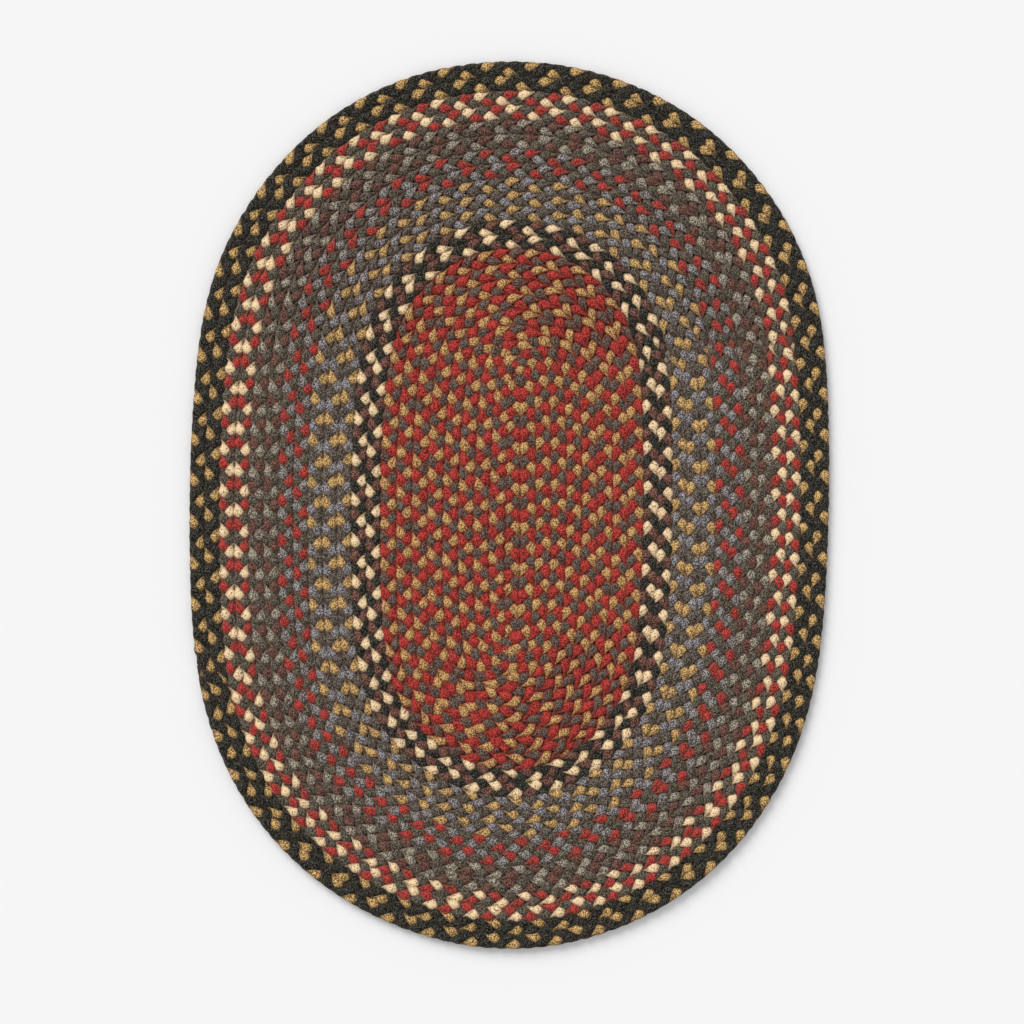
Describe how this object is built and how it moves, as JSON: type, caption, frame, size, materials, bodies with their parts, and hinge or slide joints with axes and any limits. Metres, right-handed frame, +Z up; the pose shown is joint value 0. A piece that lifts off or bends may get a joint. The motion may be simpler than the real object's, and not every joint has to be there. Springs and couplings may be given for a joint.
{
  "type": "braided rug",
  "caption": "Flat oval rug of coiled three-strand braid in banded colours, laced edge to edge, with a flat underside.",
  "frame": {"origin": "on the floor under the middle of the rug", "axes": "+Z up from the floor, +Y along the rug's length towards the end that is at the top of the picture, +X to the picture's right"},
  "size_m": [0.5071, 0.7038, 0.008],
  "materials": {
    "black_yarn": "dull plied jute yarn",
    "gold_yarn": "dull plied jute yarn",
    "cream_yarn": "dull plied jute yarn",
    "red_yarn": "dull plied jute yarn",
    "maroon_yarn": "dull plied jute yarn",
    "sage_yarn": "dull plied jute yarn",
    "blue_grey_yarn": "dull plied jute yarn",
    "olive_yarn": "dull plied jute yarn",
    "charcoal_yarn": "dull plied jute yarn"
  },
  "bodies": {
    "root": {"centre_braid": "red_yarn", "cream_black_braid": "cream_yarn", "gold_grey_braid": "gold_yarn", "red_grey_braid": "blue_grey_yarn", "sage_brown_braid": "sage_yarn", "red_cream_braid": "olive_yarn", "black_gold_border": "black_yarn"}
  },
  "joints": []
}
